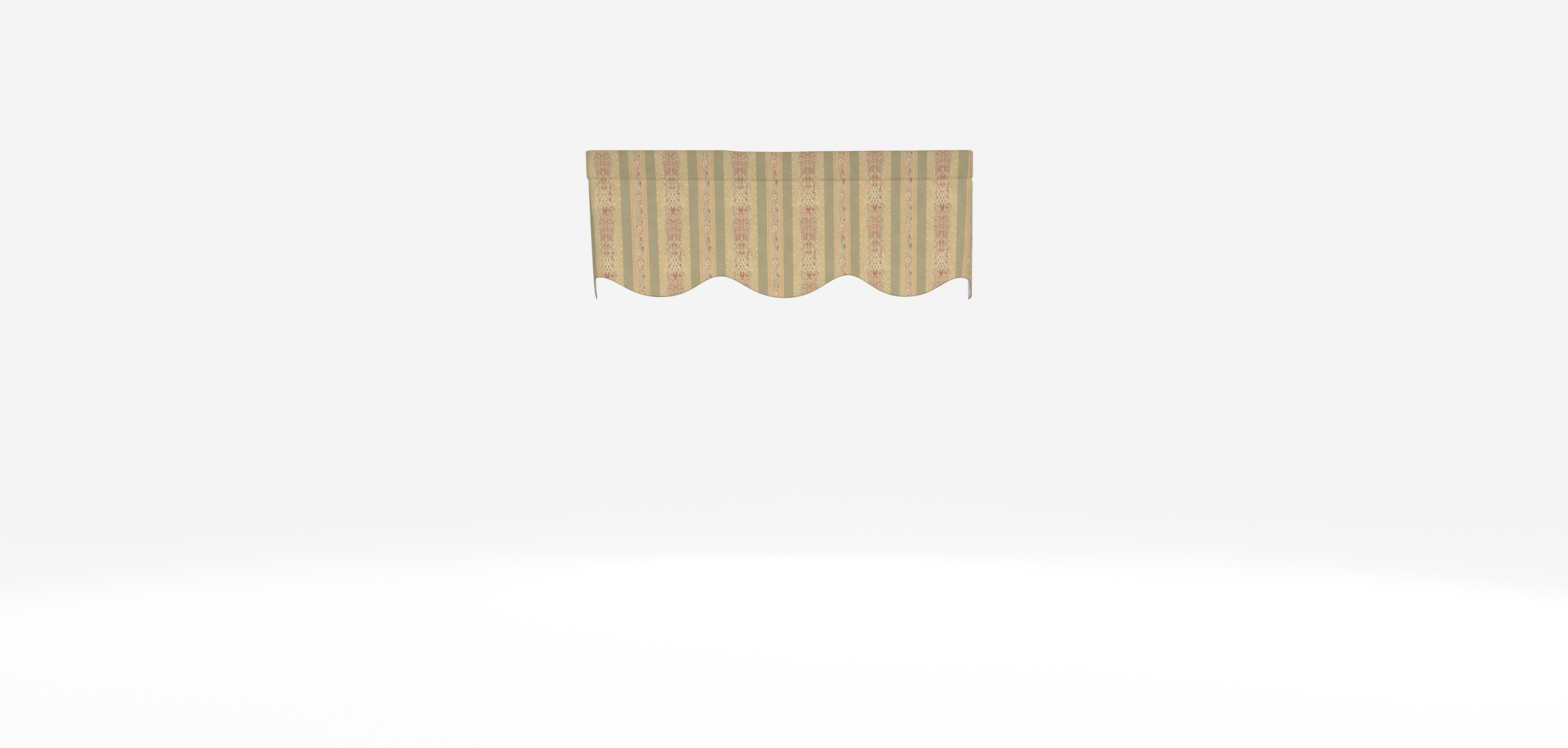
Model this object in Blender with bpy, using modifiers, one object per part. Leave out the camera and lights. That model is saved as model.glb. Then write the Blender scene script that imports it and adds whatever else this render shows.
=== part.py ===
"""A scalloped window valance, hung as a U around the place of a wide flat rod.

It is made of two cloths, as they are cut and sewn: a printed face, which rolls over the top
edge, and a plain lining behind it. One line of stitching, a hand's width below the top, closes
the two into the rod pocket. Below it they hang together, down to a hem of four scallops.

Metres, +Z up, the front faces -Y. The origin is the middle of the top edge.
"""

import math
from collections import namedtuple

import bmesh
import bpy

# The cloths
FACE_THICK = 0.0018
LINING_THICK = 0.0012
CLOTH_GAP = 0.0006  # between the cloths where they lie together
EDGE_STEP = 0.0015  # the lining ends this far inside the face's hem and side edges

# The rod pocket
POCKET_HALF = 0.0068  # from the rod's middle to the middle of either cloth
ROD_SHARE = 0.86  # of the pocket's height that stands straight beside the rod
BACK_LAP = 0.010  # the face comes this far down behind the rod before the lining takes over

# How the cloth hangs
HEM_LEVEL = -0.377
STITCH_LEVEL = -0.077
LEAN_BACK = 0.008  # of the front's hem, towards the wall
DRIFT_POWER = 0.75  # the cloth drifts sideways a little faster near the top
ARCH_WARP = 0.28  # the hem leaves each arch faster than it comes into a point

# How finely the cloths are laid out
FRONT_STEPS = 18  # from the middle to a corner
CORNER_STEPS = 5
RETURN_STEPS = 5
FOLD_STEPS = 6
SKIRT_STEPS = 6
POCKET_ROWS = (0.5, ROD_SHARE, 0.93, 1.0)  # shares of the pocket's height
PLACING_ROUNDS = 6  # of working out a point's height from its place on the cloth, and back

Height = namedtuple("Height", "across height")
Shift = namedtuple("Shift", "across sideways")
Wave = namedtuple("Wave", "across width push")
Side = namedtuple("Side", "height half_width radius splay back")

# across: a place on the flat cloth, measured from its middle
TOP_EDGE = (
    Height(-0.150, 0.0044),
    Height(-0.100, 0.0010),
    Height(0.000, 0.0000),
    Height(0.110, 0.0020),
    Height(0.300, 0.0034),
    Height(0.500, 0.0050),
)
STITCH_LINE = (
    Height(-0.500, -0.0743),
    Height(-0.285, -0.0767),
    Height(0.000, -0.0791),
    Height(0.340, -0.0767),
    Height(0.500, -0.0724),
)
# The hem's points and arches in turn, with a point at each side edge
HEM = (
    Height(-0.648, -0.3770),
    Height(-0.488, -0.3265),
    Height(-0.327, -0.3784),
    Height(-0.163, -0.3240),
    Height(0.006, -0.3808),
    Height(0.174, -0.3210),
    Height(0.329, -0.3775),
    Height(0.480, -0.3275),
    Height(0.648, -0.3770),
)
# How far the hem has drifted sideways from straight below the top edge
DRIFT = (
    Shift(-0.330, 0.0150),
    Shift(-0.155, 0.0080),
    Shift(0.150, 0.0050),
    Shift(0.350, -0.0020),
    Shift(0.460, -0.0060),
    Shift(0.500, -0.0090),
)
# Soft folds below the stitching, at their full push at the hem
WAVES = (
    Wave(-0.560, 0.045, 0.0030),
    Wave(-0.330, 0.075, 0.0035),
    Wave(-0.165, 0.035, -0.0030),
    Wave(0.010, 0.080, 0.0030),
    Wave(0.185, 0.040, -0.0025),
    Wave(0.335, 0.070, 0.0035),
    Wave(0.595, 0.046, 0.0080),
)
# Each side at some heights: where its corner stands and how round it is, how far its return
# slants outwards, and where the return's edge ends
LEFT = (
    Side(height=-0.066, half_width=0.4990, radius=0.012, splay=0.0, back=0.156),
    Side(height=-0.079, half_width=0.4995, radius=0.012, splay=0.0, back=0.156),
    Side(height=-0.377, half_width=0.4800, radius=0.018, splay=math.radians(7.5), back=0.153),
)
RIGHT = (
    Side(height=-0.066, half_width=0.4992, radius=0.012, splay=0.0, back=0.156),
    Side(height=-0.079, half_width=0.5030, radius=0.013, splay=0.0, back=0.156),
    Side(height=-0.250, half_width=0.5025, radius=0.022, splay=math.radians(2), back=0.154),
    Side(height=-0.377, half_width=0.4985, radius=0.030, splay=math.radians(4), back=0.151),
)

LAST_COLUMN = FRONT_STEPS + CORNER_STEPS + RETURN_STEPS
FACE_OFFSET = (CLOTH_GAP + FACE_THICK) / 2  # below the stitching, from the sheet between them
LINING_OFFSET = (CLOTH_GAP + LINING_THICK) / 2


def clear_scene():
    for item in list(bpy.data.objects):
        bpy.data.objects.remove(item, do_unlink=True)


def clamp(value):
    return min(max(value, 0.0), 1.0)


def ease(part):
    """From 0 to 1 like half a cosine wave, flat at both ends."""
    return (1 - math.cos(math.pi * clamp(part))) / 2


def read(table, across):
    """A table's value at a place across the cloth, eased from each row to the next."""
    here = table[0]
    for following in table[1:]:
        if across <= following[0]:
            return here[1] + (following[1] - here[1]) * ease(
                (across - here[0]) / (following[0] - here[0])
            )
        here = following
    return here[1]


def read_hem(across):
    """The hem's height, along narrow arches and broad points."""
    for here, following in zip(HEM, HEM[1:]):
        if across <= following.across:
            break
    part = clamp((across - here.across) / (following.across - here.across))
    arch, point = here, following
    if here.height < following.height:
        arch, point, part = following, here, 1 - part
    part += ARCH_WARP * math.sin(math.pi * part) / math.pi
    return arch.height + (point.height - arch.height) * ease(part)


def hang(height):
    """0 at the stitching and above, 1 at the hem."""
    return clamp((STITCH_LEVEL - height) / (STITCH_LEVEL - HEM_LEVEL))


def drift(across, height):
    """How far sideways the cloth has moved, at a height below the top edge."""
    return read(DRIFT, across) * clamp(height / HEM_LEVEL) ** DRIFT_POWER


def push(across, height):
    """How far forward the soft folds bring the cloth."""
    total = sum(w.push * math.exp(-(((across - w.across) / w.width) ** 2)) for w in WAVES)
    return total * ease(hang(height))


def side_at(sign, height):
    """The left or right side at a height, straight between the rows of its table."""
    table = LEFT if sign < 0 else RIGHT
    for above, below in zip(table, table[1:]):
        if height >= below.height:
            break
    part = clamp((above.height - height) / (above.height - below.height))
    return Side(*(a + (b - a) * part for a, b in zip(above, below)))


def plan(column, height):
    """A column's place on the U seen from above: x, y, its length along the U, and its turn."""
    sign = math.copysign(1, column)
    step = abs(column)
    side = side_at(sign, height)
    full_turn = math.pi / 2 - side.splay
    front = side.half_width - side.radius * math.tan(full_turn / 2)
    lean = LEAN_BACK * hang(height) ** 2
    corner_end = lean + side.radius * (1 - math.cos(full_turn))
    straight = front * clamp(step / FRONT_STEPS)
    turn = full_turn * clamp((step - FRONT_STEPS) / CORNER_STEPS)
    run = (side.back - corner_end) / math.sin(full_turn)
    run *= clamp((step - FRONT_STEPS - CORNER_STEPS) / RETURN_STEPS)
    x = straight + side.radius * math.sin(turn) + run * math.cos(full_turn)
    y = lean + side.radius * (1 - math.cos(turn)) + run * math.sin(full_turn)
    length = straight + side.radius * turn + run
    return sign * x, y, sign * length, sign * turn


def cloth_point(column, level, offset):
    """A point of a cloth that stands offset in front of the U, at level(across) in height."""
    across, height = 0.0, HEM_LEVEL / 2
    for _ in range(PLACING_ROUNDS):
        x, y, length, turn = plan(column, height)
        across = length - drift(across, height)
        height = level(across)
    out = offset + push(across, height)
    return x + out * math.sin(turn), y - out * math.cos(turn), height


def shoulder(across):
    """The height where the top fold ends and the pocket's straight walls begin."""
    return read(TOP_EDGE, across) - FACE_THICK / 2 - POCKET_HALF


def wall_offset(part, seam_offset):
    """A pocket wall stands clear of the rod, then closes in on the stitching."""
    closing = ease((part - ROD_SHARE) / (1 - ROD_SHARE))
    return POCKET_HALF + (seam_offset - POCKET_HALF) * closing


def fold_row(step):
    """The roll over the top, from the back to the front."""
    angle = math.pi * (1 - step / FOLD_STEPS)
    rise = POCKET_HALF * math.sin(angle)
    return lambda across: shoulder(across) + rise, POCKET_HALF * math.cos(angle)


def pocket_row(part, seam_offset, top_gap=0.0):
    """A row of a pocket wall, a part of the way from the top fold down to the stitching."""

    def level(across):
        top = shoulder(across) - top_gap
        return top + (read(STITCH_LINE, across) - top) * part

    return level, wall_offset(part, seam_offset)


def skirt_row(step, offset, rise=0.0):
    """A row below the stitching, the last of them along the hem or a little above it."""
    part = step / SKIRT_STEPS

    def level(across):
        seam = read(STITCH_LINE, across)
        return seam + (read_hem(across) + rise - seam) * part

    return level, offset


def face_rows():
    """From its edge behind the rod, over the top and down the front."""
    lap = (lambda across: shoulder(across) - BACK_LAP, -POCKET_HALF)
    folds = [lap] + [fold_row(step) for step in range(FOLD_STEPS + 1)]
    pocket = [pocket_row(part, FACE_OFFSET) for part in POCKET_ROWS]
    skirt = [skirt_row(step, FACE_OFFSET) for step in range(1, SKIRT_STEPS + 1)]
    return folds + pocket + skirt


def lining_rows():
    """From just under the face's edge at the back, down behind the rod and the face."""
    top_gap = BACK_LAP + CLOTH_GAP
    behind = [pocket_row(part, LINING_OFFSET, top_gap) for part in (0.0, *POCKET_ROWS)]
    skirt = [skirt_row(step, LINING_OFFSET, EDGE_STEP) for step in range(1, SKIRT_STEPS + 1)]
    return [(level, -offset) for level, offset in behind + skirt]


def material(name, colour, roughness):
    made = bpy.data.materials.new(name)
    made.use_nodes = True
    shader = made.node_tree.nodes["Principled BSDF"]
    shader.inputs["Base Color"].default_value = (*colour, 1.0)
    shader.inputs["Roughness"].default_value = roughness
    shader.inputs["Metallic"].default_value = 0.0
    return made


def cloth(name, rows, reach, thickness, look, collection):
    """A grid laid over a cloth's rows, reach columns each way, with thickness to both sides."""
    sheet = bmesh.new()
    columns = 2 * LAST_COLUMN
    bmesh.ops.create_grid(sheet, x_segments=columns, y_segments=len(rows) - 1, size=0.5)
    for vert in sheet.verts:
        column = round((vert.co.x + 0.5) * columns) - LAST_COLUMN
        level, offset = rows[round((0.5 - vert.co.y) * (len(rows) - 1))]
        vert.co = cloth_point(min(max(column, -reach), reach), level, offset)
    mesh = bpy.data.meshes.new(name)
    sheet.to_mesh(mesh)
    sheet.free()
    mesh.shade_smooth()
    mesh.materials.append(look)
    made = bpy.data.objects.new(name, mesh)
    collection.objects.link(made)
    thick = made.modifiers.new("thickness", "SOLIDIFY")
    thick.thickness = thickness
    thick.offset = 0.0
    thick.use_quality_normals = True
    return made


def main():
    clear_scene()
    valance = bpy.data.collections.new("scalloped_valance")
    bpy.context.scene.collection.children.link(valance)
    printed = material("printed_cotton", (0.52, 0.41, 0.24), 0.85)
    plain = material("plain_cotton", (0.81, 0.76, 0.66), 0.85)
    inset = EDGE_STEP * RETURN_STEPS / LEFT[0].back  # in columns of the return
    cloth("face_cloth", face_rows(), LAST_COLUMN, FACE_THICK, printed, valance)
    cloth("lining", lining_rows(), LAST_COLUMN - inset, LINING_THICK, plain, valance)


main()
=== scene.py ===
# %% [markdown]
# # A scalloped window valance in a floral stripe
#
# The real thing is two cloths: a printed face that rolls over a flat rod, and a plain lining
# behind it. This lesson lays both out as fine sheets over the solids of the imported part, prints
# the stripe from a chart, and lights the result. The solids are loaded first.

# %% Load the imported part
import math
from collections import namedtuple

import bpy
import numpy as np
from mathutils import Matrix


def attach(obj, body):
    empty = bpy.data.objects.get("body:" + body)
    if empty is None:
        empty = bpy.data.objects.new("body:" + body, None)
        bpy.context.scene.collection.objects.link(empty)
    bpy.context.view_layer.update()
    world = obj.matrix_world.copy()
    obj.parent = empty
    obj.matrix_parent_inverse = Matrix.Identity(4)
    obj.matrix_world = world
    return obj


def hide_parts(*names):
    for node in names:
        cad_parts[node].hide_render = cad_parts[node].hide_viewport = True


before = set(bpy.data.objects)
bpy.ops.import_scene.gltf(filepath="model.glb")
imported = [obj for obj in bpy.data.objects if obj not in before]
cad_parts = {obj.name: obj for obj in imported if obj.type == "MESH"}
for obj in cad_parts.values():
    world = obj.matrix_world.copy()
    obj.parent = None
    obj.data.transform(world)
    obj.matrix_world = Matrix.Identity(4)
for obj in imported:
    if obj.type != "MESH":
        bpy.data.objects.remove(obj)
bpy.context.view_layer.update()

print("nodes:", ", ".join(sorted(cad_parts)))

# %% [markdown]
# ## The sizes
#
# A place on the cloth is named by how far across it lies from the middle of the flat cloth, and
# by its height. These tables, in metres, say where the top edge, the stitching and the hem run,
# how far the cloth has slipped sideways at the hem, and where its soft folds are. The solids were
# made from the same ones, but the two sides here follow the photograph a few millimetres closer.

# %% The lines across the cloth
# across, height
TOP_EDGE = ((-0.15, 0.0044), (-0.1, 0.001), (0, 0), (0.11, 0.002), (0.3, 0.0034), (0.5, 0.005))
STITCH_LINE = ((-0.5, -0.0743), (-0.285, -0.0767), (0, -0.0791), (0.34, -0.0767), (0.5, -0.0724))
HEM = (
    (-0.648, -0.377), (-0.488, -0.3265), (-0.327, -0.3784), (-0.163, -0.324), (0.006, -0.3808),
    (0.174, -0.321), (0.329, -0.3775), (0.48, -0.3275), (0.648, -0.377),
)
# across, how far sideways
DRIFT = (
    (-0.33, 0.015), (-0.155, 0.008), (0.15, 0.005), (0.35, -0.002), (0.46, -0.006), (0.5, -0.009),
)
# across, width, how far forward
WAVES = (
    (-0.56, 0.045, 0.003), (-0.33, 0.075, 0.0035), (-0.165, 0.035, -0.003), (0.01, 0.08, 0.003),
    (0.185, 0.04, -0.0025), (0.335, 0.07, 0.0035), (0.595, 0.046, 0.008),
)
CLOTH_END = HEM[-1][0]  # across, at the side edge
print("hem:", len(HEM), "turning points over", CLOTH_END * 2, "m of cloth")

# %% The two sides, at some heights, and the sizes that hold everywhere
SIDE = ("height", "half width", "radius", "slant", "depth")  # the slant is in degrees
LEFT = np.array([
    (0.005, 0.5024, 0.012, 0, 0.156), (-0.066, 0.4999, 0.012, 0, 0.156),
    (-0.079, 0.501, 0.014, 0, 0.156), (-0.107, 0.5003, 0.024, 1.4, 0.1555),
    (-0.206, 0.4939, 0.028, 5, 0.1545), (-0.316, 0.4863, 0.036, 6.5, 0.1535),
    (-0.377, 0.479, 0.038, 7.5, 0.153),
])
RIGHT = np.array([
    (-0.066, 0.4984, 0.012, 0, 0.156), (-0.079, 0.5034, 0.013, 0, 0.156),
    (-0.107, 0.504, 0.024, 1, 0.1555), (-0.25, 0.5038, 0.032, 2.5, 0.154),
    (-0.377, 0.4984, 0.044, 4, 0.151),
])
HEM_LEVEL, STITCH_LEVEL = -0.377, -0.077
LEAN_BACK = 0.008
DRIFT_POWER = 0.75
ARCH_WARP = 0.28
READ_APART = 0.024  # above and below a point, where the sides are read as well
SOFT_FROM, SOFT_OVER = -0.079, 0.03  # height where that starts, and over how much it grows
POCKET_HALF = 0.0068  # from the rod's middle to either cloth
ROD_SHARE = 0.86  # of the pocket's height that stands straight
BACK_LAP = 0.01  # of the face, down behind the rod
FACE_OFFSET, LINING_OFFSET = 0.0012, 0.0009  # before and behind the sheet between the cloths
CROWN_DROP = 0.0077  # from the top edge down to where the pocket's straight walls begin
FRONT, CORNER, RETURN = 18, 5, 5  # columns from the middle to a corner, round it, and to the edge
EDGE = FRONT + CORNER + RETURN
print("pocket:", round(STITCH_LINE[2][1] * -1000), "mm deep")

# %% [markdown]
# ## The shape of the hanging cloth
#
# A point of a sheet is worked out from its column, which runs round the U that the cloth makes
# as seen from above, and its row, which runs down it. The functions take whole arrays of columns
# and rows and give whole arrays of points, so no loop visits a vertex.

# %% Reading the tables
def ease(part):
    """(1 - cos(pi part)) / 2, with part kept from 0 to 1: flat at both ends."""
    return (1 - np.cos(np.pi * np.clip(part, 0, 1))) / 2


def around(table, across):
    """For each place: the row before, the row after, and the part of the way between the two."""
    rows = np.array(table)
    after = np.clip(np.searchsorted(rows[:, 0], across), 1, len(rows) - 1)
    a, b = rows[after - 1], rows[after]
    return a[..., 1], b[..., 1], np.clip((across - a[..., 0]) / (b[..., 0] - a[..., 0]), 0, 1)


def read(table, across):
    """before + (after - before) ease(part), for a whole array of places."""
    before, after, part = around(table, across)
    return before + (after - before) * ease(part)


def read_hem(across):
    """The same from arch to point, with part + warp sin(pi part) / pi in place of part."""
    before, after, part = around(HEM, across)
    part = np.where(before > after, part, 1 - part)
    part = part + ARCH_WARP * np.sin(np.pi * part) / np.pi
    arch, point = np.maximum(before, after), np.minimum(before, after)
    return arch + (point - arch) * ease(part)


print("hem at the middle:", round(float(read_hem(np.array(0.0))), 4))

# %% The U seen from above, and the folds
def hang(height):
    """0 at the stitching and above, 1 at the hem, straight between."""
    return np.clip((STITCH_LEVEL - height) / (STITCH_LEVEL - HEM_LEVEL), 0, 1)


def plan(column, height):
    """x, y, length along the U, and turn: a straight front, an arc of the corner's radius, and a
    straight return that slants outwards. The corner's sizes are the mean of three readings, at
    the height and a little above and below it, so that the skirt bends softly."""
    sign, step = np.where(column < 0, -1.0, 1.0), np.abs(column)
    apart = READ_APART * np.clip((SOFT_FROM - height) / SOFT_OVER, 0, 1)

    def side(name):
        unit = math.pi / 180 if name == "slant" else 1
        left, right = ([-t[:, 0], t[:, SIDE.index(name)] * unit] for t in (LEFT, RIGHT))
        level = [-height - apart, -height, -height + apart]
        return sum(np.where(sign < 0, np.interp(h, *left), np.interp(h, *right)) for h in level) / 3

    radius, full = side("radius"), np.pi / 2 - side("slant")
    lean = LEAN_BACK * hang(height) ** 2
    straight = (side("half width") - radius * np.tan(full / 2)) * np.clip(step / FRONT, 0, 1)
    turn = full * np.clip((step - FRONT) / CORNER, 0, 1)
    run = (side("depth") - lean - radius * (1 - np.cos(full))) / np.sin(full)
    run = run * np.clip((step - FRONT - CORNER) / RETURN, 0, None)
    x = straight + radius * np.sin(turn) + run * np.cos(full)
    y = lean + radius * (1 - np.cos(turn)) + run * np.sin(full)
    return sign * x, y, sign * (straight + radius * turn + run), sign * turn


def push(across, height):
    """The sum over WAVES of push exp(-((across - middle) / width)^2), growing down to the hem."""
    total = sum(most * np.exp(-(((across - at) / width) ** 2)) for at, width, most in WAVES)
    return total * ease(hang(height))


length = plan(np.array([-EDGE, EDGE]), np.array([-0.3, -0.3]))[2]
print("cloth round the U:", round(float(length[1] - length[0]), 3), "m")

# %% [markdown]
# ## Rows of cloth
#
# A row is one thread across the whole cloth. Its height is a blend of three lines: the shoulder
# of the top roll, the stitching and the hem. Its offset says how far in front of the U it lies,
# and its way which side of the rod it is on: 0 is the front, pi the back. The real hem and side
# edges are turned under, so the face's edge rolls in by a millimetre, and catches the light.

# %% A table of rows as arrays
Rows = namedtuple("Rows", "shoulder seam hem rise offset way")
TURN_RADIUS = 0.0007
TURN_UP = 0.003  # of the turned edge, hidden between the cloths
ROLL_STEPS, FOLD_STEPS = 5, 12  # rows round the edge's roll, and over the rod
SQUARENESS = 2 / 3  # of the roll over the rod: 1 would be a half circle


def rows(shoulder, seam=0.0, hem=0.0, rise=0.0, offset=0.0, way=0.0):
    """Arrays of the same length, whatever mix of numbers and arrays comes in."""
    return Rows(*(np.array(a) for a in np.broadcast_arrays(shoulder, seam, hem, rise, offset, way)))


def stack(*parts):
    """Several sets of rows as one, from the first down to the last."""
    return Rows(*(np.concatenate(column) for column in zip(*parts)))


def fold_rows():
    """offset = r |cos(way)|^(2/3) either way, rise = r sin(way)^(2/3): a roll a little squarer
    than a half circle, from the back, way = pi, to the front, way = 0."""
    way = np.linspace(np.pi, 0, FOLD_STEPS + 1)
    forward, up = np.cos(way), np.abs(np.sin(way))
    offset = POCKET_HALF * np.sign(forward) * np.abs(forward) ** SQUARENESS
    return rows(1.0, rise=POCKET_HALF * up ** SQUARENESS, offset=offset, way=way)


def pocket_rows(part, start, end):
    """offset = start + (end - start) ease(c), c being the last part of the way from the shoulder,
    part 0, to the stitching, part 1: straight beside the rod, then closing in."""
    closing = ease((part - ROD_SHARE) / (1 - ROD_SHARE))
    way = 0.0 if start > 0 else np.pi
    return rows(1 - part, seam=part, offset=start + (end - start) * closing, way=way)


def skirt_rows(part, offset):
    """From the stitching, part 0, to the hem, part 1."""
    return rows(0.0, seam=1 - part, hem=part, offset=offset)


def edge_roll():
    """r sin a and r (1 - cos a), a half circle that takes an edge out and then behind."""
    angle = np.linspace(0, np.pi, ROLL_STEPS + 1)[1:]
    return TURN_RADIUS * np.sin(angle), TURN_RADIUS * (1 - np.cos(angle))


def hem_rows(offset):
    """The hem's roll, and the cloth turned up behind it."""
    out, behind = edge_roll()
    turned_up = rows(0.0, hem=[1.0], rise=TURN_UP, offset=offset - 2 * TURN_RADIUS)
    return stack(rows(0.0, hem=1.0, rise=-out, offset=offset - behind), turned_up)


lap = rows(1.0, rise=np.linspace(-BACK_LAP, 0, 4)[:-1], offset=-POCKET_HALF, way=np.pi)
skirt_parts = np.r_[0.003, 0.009, np.linspace(0, 1, 46)[1:-1], 0.988, 0.994, 1]
wall_parts = np.r_[np.linspace(0, ROD_SHARE, 7)[1:], np.linspace(ROD_SHARE, 1, 9)[1:]]
face_rows = stack(lap, fold_rows(), pocket_rows(wall_parts, POCKET_HALF, FACE_OFFSET),
                  skirt_rows(skirt_parts, FACE_OFFSET), hem_rows(FACE_OFFSET))
print("face:", len(face_rows.rise), "rows")

# %% From rows and columns to points
ROUNDS = 8  # of working out a point's height from its place on the cloth, and back


def lay(columns, cloth, inward, extra=None):
    """For each row and column: the point, and its place across the cloth.

    height = shoulder a + stitching b + hem c + rise, read where the point lies across the cloth.
    across = length along the U - drift. The point stands offset + push in front of the U.
    inward rolls a side edge towards the inside of the cloth, and extra adds small creases."""
    column = np.broadcast_to(columns, (len(cloth.rise), len(columns)))
    height, across = np.full(column.shape, HEM_LEVEL / 2), np.zeros(column.shape)
    a, b, c, rise, offset, way = (v[:, None] for v in cloth)
    for _ in range(ROUNDS):
        x, y, length, turn = plan(column, height)
        across = length - read(DRIFT, across) * np.clip(height / HEM_LEVEL, 0, 1) ** DRIFT_POWER
        shoulder, seam = read(TOP_EDGE, across) - CROWN_DROP, read(STITCH_LINE, across)
        height = a * shoulder + b * seam + c * read_hem(across) + rise - inward * np.sin(way)
    out = offset + push(across, height) - inward * np.cos(way)
    if extra is not None:
        out = out + extra(across, height, seam)
    point = np.stack([x + out * np.sin(turn), y - out * np.cos(turn), height], axis=-1)
    return point, across, {"over_seam": height - seam, "over_hem": height - read_hem(across)}


level = lay(np.linspace(-EDGE, EDGE, 9), face_rows, 0.0)[0][..., 2]
print("a coarse try hangs from", round(level.max(), 4), "down to", round(level.min(), 4))

# %% [markdown]
# ## Creases
#
# The cloth is nearly flat, so what small folds it has matter: a puckered band where the stitching
# gathers it, a V above that, and a few faint upright ripples. Each is a soft ridge, listed one by
# one.

# %% Creases, listed one by one
CREASES = (  # across, below the top, half width, half length, lean, how far forward
    (0.187, 0.066, 0.0022, 0.008, 0.5, 0.0011), (0.1965, 0.066, 0.0022, 0.008, -0.5, 0.0011),
    (0.1918, 0.074, 0.005, 0.004, 0, -0.0009), (-0.056, 0.074, 0.006, 0.0045, -0.35, -0.001),
    (-0.215, 0.073, 0.007, 0.004, 0.3, -0.0008), (-0.156, 0.108, 0.0045, 0.009, 0.7, 0.001),
    (-0.164, 0.11, 0.004, 0.008, 0.7, -0.0009), (-0.15, 0.2, 0.01, 0.09, 0.04, 0.0008),
    (-0.176, 0.22, 0.011, 0.09, -0.03, -0.0007), (0.44, 0.26, 0.014, 0.08, -0.1, 0.001),
    (0.39, 0.27, 0.015, 0.07, 0.08, -0.0008), (-0.43, 0.25, 0.013, 0.08, 0.1, 0.0008),
)
PUCKER_REACH, PUCKER_DEPTH = 0.012, 0.00035
PUCKER_WAVES, BELLY_WAVES = (0.0113, 0.0171, 0.029), (0.083, 0.131, 0.047)


def ripple(across, wavelengths):
    """A sum of sines of unlike wavelength, each one radian further on than the one before."""
    return sum(np.sin(2 * np.pi * across / wave + k) for k, wave in enumerate(wavelengths))


def creases(across, height, seam):
    """Each crease is push exp(-(a / half_width)^2 - (b / half_length)^2), a and b measured across
    and along it. The puckers are a ripple that fades off the stitching."""
    total = np.zeros(across.shape)
    for at, below_top, half_width, half_length, lean, most in CREASES:
        down = -height - below_top
        aside = across - at + lean * down
        total += most * np.exp(-((aside / half_width) ** 2) - (down / half_length) ** 2)
    fade = np.exp(-(((height - seam) / PUCKER_REACH) ** 2))
    return total + PUCKER_DEPTH * ripple(across, PUCKER_WAVES) / 2 * fade


print("creases:", len(CREASES))

# %% [markdown]
# ## Making a sheet
#
# The arrays of points go straight into a mesh. Its UV map holds the flat cloth in metres, so
# print and weave follow the cloth round every bend. Solidify gives thickness.

# %% Where the print lies on the flat cloth
PRINT_LEVEL = (  # across, and the height of the first row of rosettes
    (-0.467, -0.031), (-0.106, -0.0297), (0.071, -0.0279), (0.247, -0.0232), (0.424, -0.0225),
)
PRINT_SHIFT = (  # across, and how far a wide stripe lies from its even place
    (-0.467, -0.0064), (-0.287, -0.0045), (-0.106, -0.0006), (0.071, 0), (0.247, -0.001),
    (0.424, 0.0014), (0.466, -0.0009),
)
LEFT_DART, RIGHT_DART = (0.011, 0.468, 0.028), (0.012, 0.455, 0.03)  # most, start, width
LET_OUT = 0.12  # of cloth along a return, over which its dart is let out again
LEFT_HASTE = 2.2  # the left dart has grown before it is half way down


def dart(outward, most, start, width):
    """most ease((outward - start) / width) ease((edge - outward) / let out)"""
    return most * ease((outward - start) / width) * ease((CLOTH_END - outward) / LET_OUT)


def pinch(across, height):
    """How much of the print the two corners take in below the stitching, as small darts would."""
    fall = hang(height)
    left = dart(-across, *LEFT_DART) * ease(LEFT_HASTE * fall)
    return dart(across, *RIGHT_DART) * fall ** 2 - left


print("the print climbs", round((PRINT_LEVEL[-1][1] - PRINT_LEVEL[0][1]) * 1000, 1), "mm")

# %% Points into a mesh, and columns for a sheet
def sheet_mesh(name, point, u, v, **heights):
    """A grid of quads over an array of points, rows by columns, facing the way that rows go down
    and columns go right as seen from the front. heights are kept as attributes of the points."""
    index = np.arange(point[..., 0].size).reshape(point.shape[:2])
    quads = np.stack([index[:-1, :-1], index[1:, :-1], index[1:, 1:], index[:-1, 1:]], axis=-1)
    quads = quads.reshape(-1, 4)
    mesh = bpy.data.meshes.new(name)
    mesh.from_pydata(point.reshape(-1, 3), [], quads)
    uv = np.stack([u, v], axis=-1).reshape(-1, 2)[quads.ravel()]
    mesh.uv_layers.new(name="flat_cloth").data.foreach_set("uv", uv.ravel())
    for label, height in heights.items():
        mesh.attributes.new(label, "FLOAT", "POINT").data.foreach_set("value", height.ravel())
    mesh.shade_smooth()
    return mesh


def place(name, mesh, thickness, *nodes):
    """An object at the origin, with thickness, standing for some nodes and riding on the part."""
    made = bpy.data.objects.new(name, mesh)
    bpy.context.scene.collection.objects.link(made)
    if thickness:
        solid = made.modifiers.new("thickness", "SOLIDIFY")
        solid.thickness, solid.offset, solid.use_quality_normals = thickness, 0.0, True
    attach(made, "root")
    if nodes:
        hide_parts(*nodes)
    return made


RETURN_RUN = 0.144 / RETURN  # metres of cloth in one column of a return


def both_sides(half, mirror=-1):
    """An array from the middle outwards, with its mirror image put before it."""
    return np.r_[mirror * half[:0:-1], half]


def columns_to(last, front, corner, side):
    """Even steps along the front, round the corner and along the return."""
    bend = np.linspace(FRONT, FRONT + CORNER, corner + 1)
    return np.r_[np.linspace(0, FRONT, front + 1)[:-1], bend[:-1],
                 np.linspace(FRONT + CORNER, last, side + 1)]


out, behind = edge_roll()
half = columns_to(EDGE, front=178, corner=14, side=46)
face_columns = both_sides(np.r_[half, EDGE + np.r_[out, -TURN_UP] / RETURN_RUN])
inward = both_sides(np.r_[np.zeros(len(half)), behind, 2 * TURN_RADIUS], 1)
print("face:", len(face_columns), "columns")

# %% The face
FACE_THICK = 0.0008
AT_HEM_ROLL = 0.03  # of a side edge's turn, left where the hem has turned up already

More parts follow.
